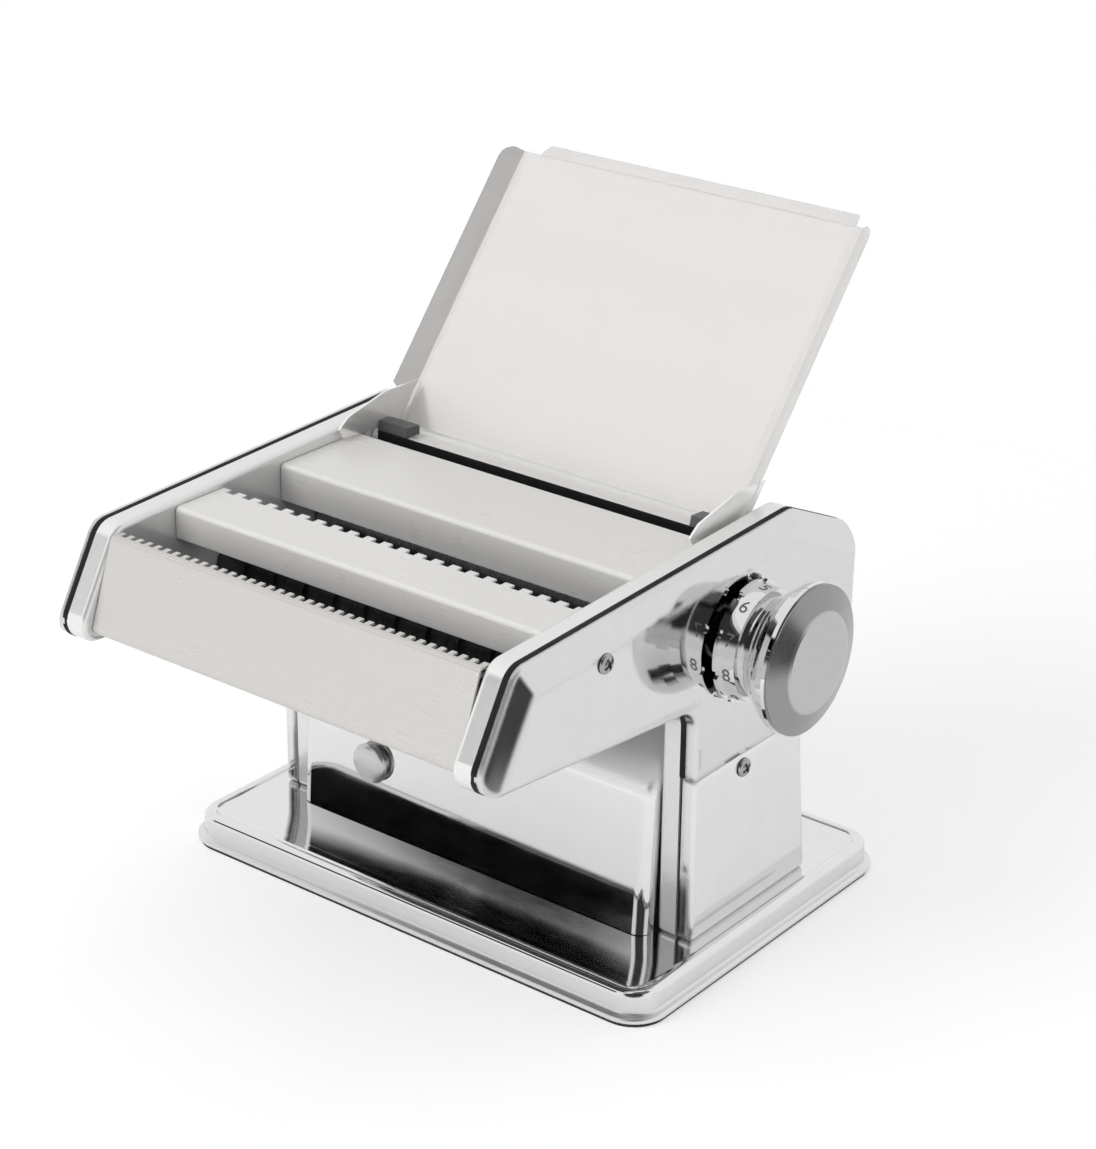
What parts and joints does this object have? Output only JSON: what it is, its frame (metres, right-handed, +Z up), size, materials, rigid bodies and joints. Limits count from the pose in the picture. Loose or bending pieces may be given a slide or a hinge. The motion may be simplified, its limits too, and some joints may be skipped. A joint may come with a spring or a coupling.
{
  "type": "pasta machine",
  "caption": "Hand-cranked pasta machine with smooth rollers and a gap regulator knob, two pairs of cutters, a lift-out dough tray and a pressed stand.",
  "frame": {"origin": "on the table under the middle of the base", "axes": "+X towards the regulator knob's side, -Y towards the cutters at the front, +Z up"},
  "size_m": [0.218, 0.2274, 0.2255],
  "materials": {
    "polished_steel": "mirror polished",
    "satin_steel": "satin",
    "roller_alloy": "satin",
    "gear_steel": "machined",
    "black_plastic": "matt",
    "grey_plastic": "smooth",
    "bearing_plastic": "matt",
    "foot_rubber": "matt"
  },
  "bodies": {
    "stand": {"base_plate": "polished_steel", "base_pad": "foot_rubber", "right_frame": "polished_steel", "left_frame": "polished_steel", "right_cover": "polished_steel", "left_cover": "polished_steel", "right_leg_cover": "polished_steel", "left_leg_cover": "polished_steel", "top_panel": "satin_steel", "middle_panel": "satin_steel", "front_panel": "satin_steel", "rear_cover": "satin_steel", "chute_panel": "polished_steel", "back_panel": "satin_steel", "right_bushes": "bearing_plastic", "left_bushes": "bearing_plastic", "block_rails": "bearing_plastic", "upper_tie_rod": "gear_steel", "lower_tie_rod": "gear_steel", "rear_tie_rod": "gear_steel", "cover_screws": "gear_steel", "knob_bush": "bearing_plastic", "index_pin": "gear_steel", "front_button": "satin_steel", "clamp_bush": "gear_steel", "feed_guides": "black_plastic", "drive_scraper": "gear_steel", "rear_scraper": "gear_steel", "wide_stripper_a": "gear_steel", "wide_stripper_b": "gear_steel", "narrow_stripper_a": "gear_steel", "narrow_stripper_b": "gear_steel"},
    "drive_shaft": {"drive_roller": "roller_alloy", "drive_gear": "gear_steel"},
    "carriage": {"right_block": "bearing_plastic", "left_block": "bearing_plastic", "carriage_tie": "gear_steel", "follower_pin": "gear_steel"},
    "adjustable_shaft": {"adjustable_roller": "roller_alloy", "adjustable_gear": "gear_steel"},
    "regulator": {"cam_disc": "gear_steel", "knob_shaft": "gear_steel"},
    "regulator_knob": {"knob": "polished_steel", "knob_cap": "grey_plastic"},
    "wide_shaft_a": {"wide_cutter_a": "roller_alloy", "wide_gear_a": "gear_steel"},
    "wide_shaft_b": {"wide_cutter_b": "roller_alloy", "wide_gear_b": "gear_steel"},
    "narrow_shaft_a": {"narrow_cutter_a": "roller_alloy", "narrow_gear_a": "gear_steel"},
    "narrow_shaft_b": {"narrow_cutter_b": "roller_alloy", "narrow_gear_b": "gear_steel"},
    "tray": {"dough_tray": "satin_steel"}
  },
  "joints": [
    {"name": "drive_roller_turn", "type": "hinge", "parent": "stand", "child": "drive_shaft", "pos_m": [0, -0.0158, 0.1126], "axis": [1, 0, 0], "continuous": true},
    {"name": "carriage_slide", "type": "slide", "parent": "stand", "child": "carriage", "axis": [0, 1, 0], "range_m": [-0.0026, 0]},
    {"name": "adjustable_roller_turn", "type": "hinge", "parent": "carriage", "child": "adjustable_shaft", "pos_m": [0, 0.0152, 0.1126], "axis": [1, 0, 0], "continuous": true},
    {"name": "regulator_turn", "type": "hinge", "parent": "stand", "child": "regulator", "pos_m": [0.085, -0.0078, 0.1126], "axis": [1, 0, 0], "range_deg": [0, 240]},
    {"name": "knob_push", "type": "slide", "parent": "regulator", "child": "regulator_knob", "axis": [1, 0, 0], "range_m": [-0.0018, 0]},
    {"name": "wide_cutter_turn_a", "type": "hinge", "parent": "stand", "child": "wide_shaft_a", "pos_m": [0, -0.0516, 0.1135], "axis": [1, 0, 0], "continuous": true},
    {"name": "wide_cutter_turn_b", "type": "hinge", "parent": "stand", "child": "wide_shaft_b", "pos_m": [0, -0.0696, 0.1135], "axis": [1, 0, 0], "continuous": true},
    {"name": "narrow_cutter_turn_a", "type": "hinge", "parent": "stand", "child": "narrow_shaft_a", "pos_m": [0, -0.101, 0.1165], "axis": [1, 0, 0], "continuous": true},
    {"name": "narrow_cutter_turn_b", "type": "hinge", "parent": "stand", "child": "narrow_shaft_b", "pos_m": [0, -0.117, 0.1165], "axis": [1, 0, 0], "continuous": true},
    {"name": "tray_lift", "type": "slide", "parent": "stand", "child": "tray", "axis": [0, 0, 1], "range_m": [0, 0.06]}
  ],
  "couplings": [
    {"joint": "adjustable_roller_turn", "follows": "drive_roller_turn", "ratio": -1},
    {"joint": "regulator_turn", "follows": "carriage_slide", "rad_per_m": -1611.1},
    {"joint": "wide_cutter_turn_b", "follows": "wide_cutter_turn_a", "ratio": -1},
    {"joint": "narrow_cutter_turn_b", "follows": "narrow_cutter_turn_a", "ratio": -1}
  ]
}
